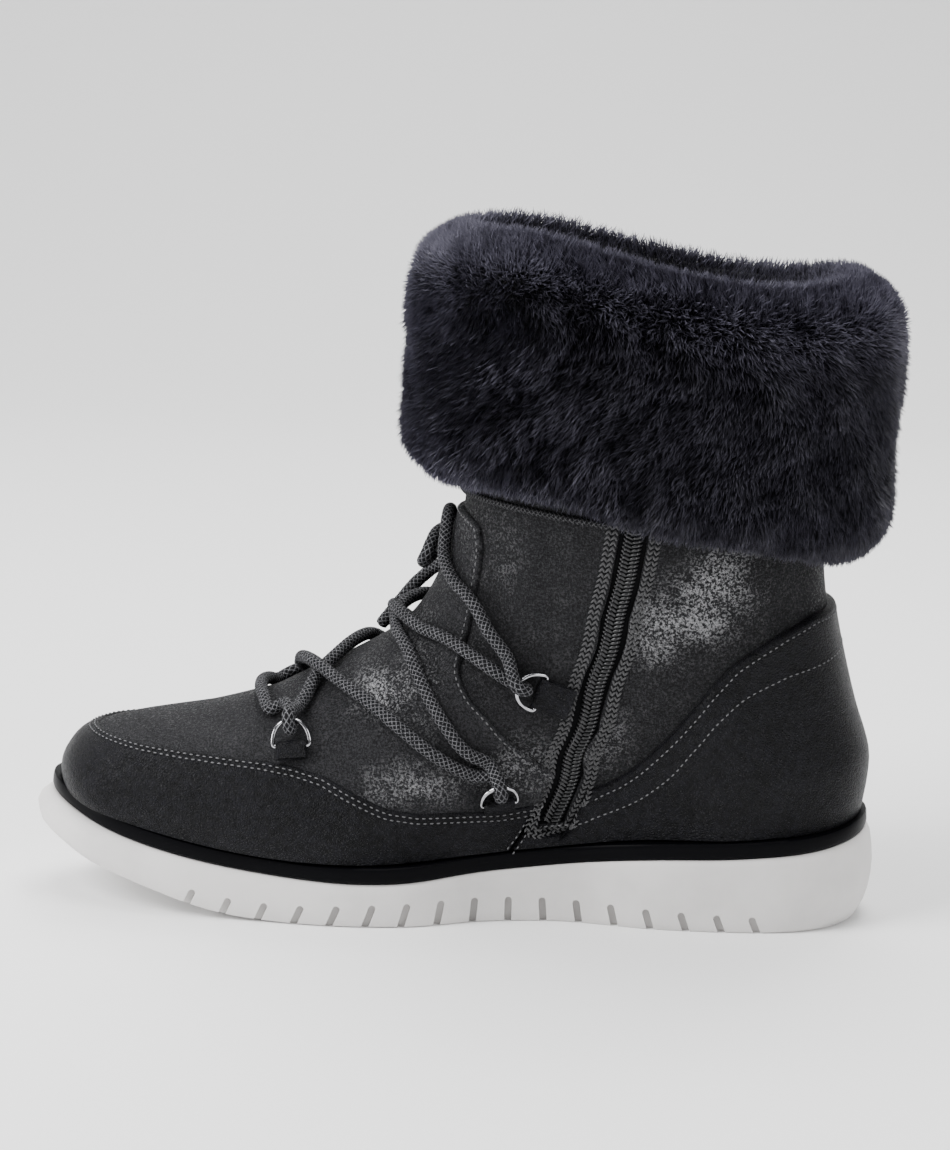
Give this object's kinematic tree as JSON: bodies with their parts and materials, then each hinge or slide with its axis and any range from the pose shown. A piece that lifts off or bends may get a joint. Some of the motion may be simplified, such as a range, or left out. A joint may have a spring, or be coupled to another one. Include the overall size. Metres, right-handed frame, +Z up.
{
  "type": "snow boot",
  "caption": "Right snow boot with a thick fur cuff, an inner side zip, lace through D-rings, leather toe and heel guards and a grooved white rubber sole.",
  "frame": {"origin": "under the middle of the boot's box, lace bow left out, on the plane that the sole stands on", "axes": "+X along the foot towards the heel, +Y towards the outer side of the foot, +Z up"},
  "size_m": [0.2907, 0.1283, 0.2355],
  "materials": {
    "white_rubber": "matt, fine-grained",
    "black_rubber": "satin",
    "lining": "matt",
    "suede": "crackled metallic suede",
    "leather": "fine-grained, soft sheen",
    "steel": "polished",
    "nylon": "satin",
    "cord": "braided",
    "fur": "dense short plush"
  },
  "bodies": {
    "root": {"outsole": "white_rubber", "midsole": "black_rubber", "insole": "lining", "upper": "suede", "vamp": "suede", "mudguard": "leather", "counter": "leather", "zip": "nylon", "fur_cuff": "fur", "cuff_seam": "cord", "d_ring_lower_medial": "steel", "d_ring_middle_medial": "steel", "d_ring_upper_medial": "steel", "d_ring_lower_lateral": "steel", "d_ring_middle_lateral": "steel", "d_ring_upper_lateral": "steel", "tab_lower_medial": "leather", "tab_middle_medial": "leather", "tab_upper_medial": "leather", "tab_lower_lateral": "leather", "tab_middle_lateral": "leather", "tab_upper_lateral": "leather", "lace_bar": "cord", "lace_lower_crossing": "cord", "lace_upper_crossing": "cord", "lace_top_medial": "cord", "lace_top_lateral": "cord", "lace_knot": "cord", "lace_loop_front": "cord", "lace_loop_side": "cord", "lace_end_front": "cord", "lace_end_side": "cord"}
  },
  "joints": []
}
